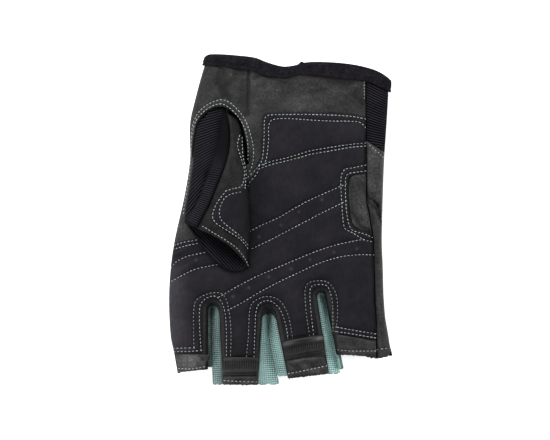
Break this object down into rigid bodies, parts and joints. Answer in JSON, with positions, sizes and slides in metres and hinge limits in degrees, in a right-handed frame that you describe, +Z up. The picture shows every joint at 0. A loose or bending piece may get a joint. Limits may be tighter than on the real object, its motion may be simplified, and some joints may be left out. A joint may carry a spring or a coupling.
{
  "type": "weightlifting glove",
  "caption": "Half-finger weightlifting glove for the right hand, lying palm up: padded leather palm, teal knit between the fingers, ribbed side, folded thumb and bound wrist.",
  "frame": {"origin": "middle of the glove's outline on the surface that it lies on", "axes": "+Z up from the surface, palm side up; +Y from the fingertips to the wrist; +X across the palm to the little finger"},
  "size_m": [0.1117, 0.1655, 0.0294],
  "materials": {
    "leather_grey": "fine grain, satin",
    "suede_charcoal": "napped synthetic suede",
    "rib_knit_black": "ribbed knit",
    "teal_knit": "fine stretch knit",
    "binding_black": "woven tape",
    "tab_tape": "ribbed rubbery tape",
    "back_fabric": "stretch knit",
    "thread_pale": "twisted thread"
  },
  "bodies": {
    "root": {"back_panel": "back_fabric", "palm_leather": "leather_grey", "side_gusset": "rib_knit_black", "side_panel": "leather_grey", "wrist_binding": "binding_black", "heel_pad": "suede_charcoal", "palm_pad": "suede_charcoal", "side_patch": "leather_grey", "fourchette_1": "teal_knit", "fourchette_2": "teal_knit", "fourchette_3": "teal_knit", "index_hem": "leather_grey", "middle_hem": "leather_grey", "ring_hem": "leather_grey", "pinky_hem": "leather_grey", "pull_tab_middle": "tab_tape", "pull_tab_ring": "tab_tape", "thumb_knit": "rib_knit_black", "thumb_leather": "leather_grey", "thumb_patch": "suede_charcoal", "thumb_lower": "rib_knit_black"}
  },
  "joints": []
}
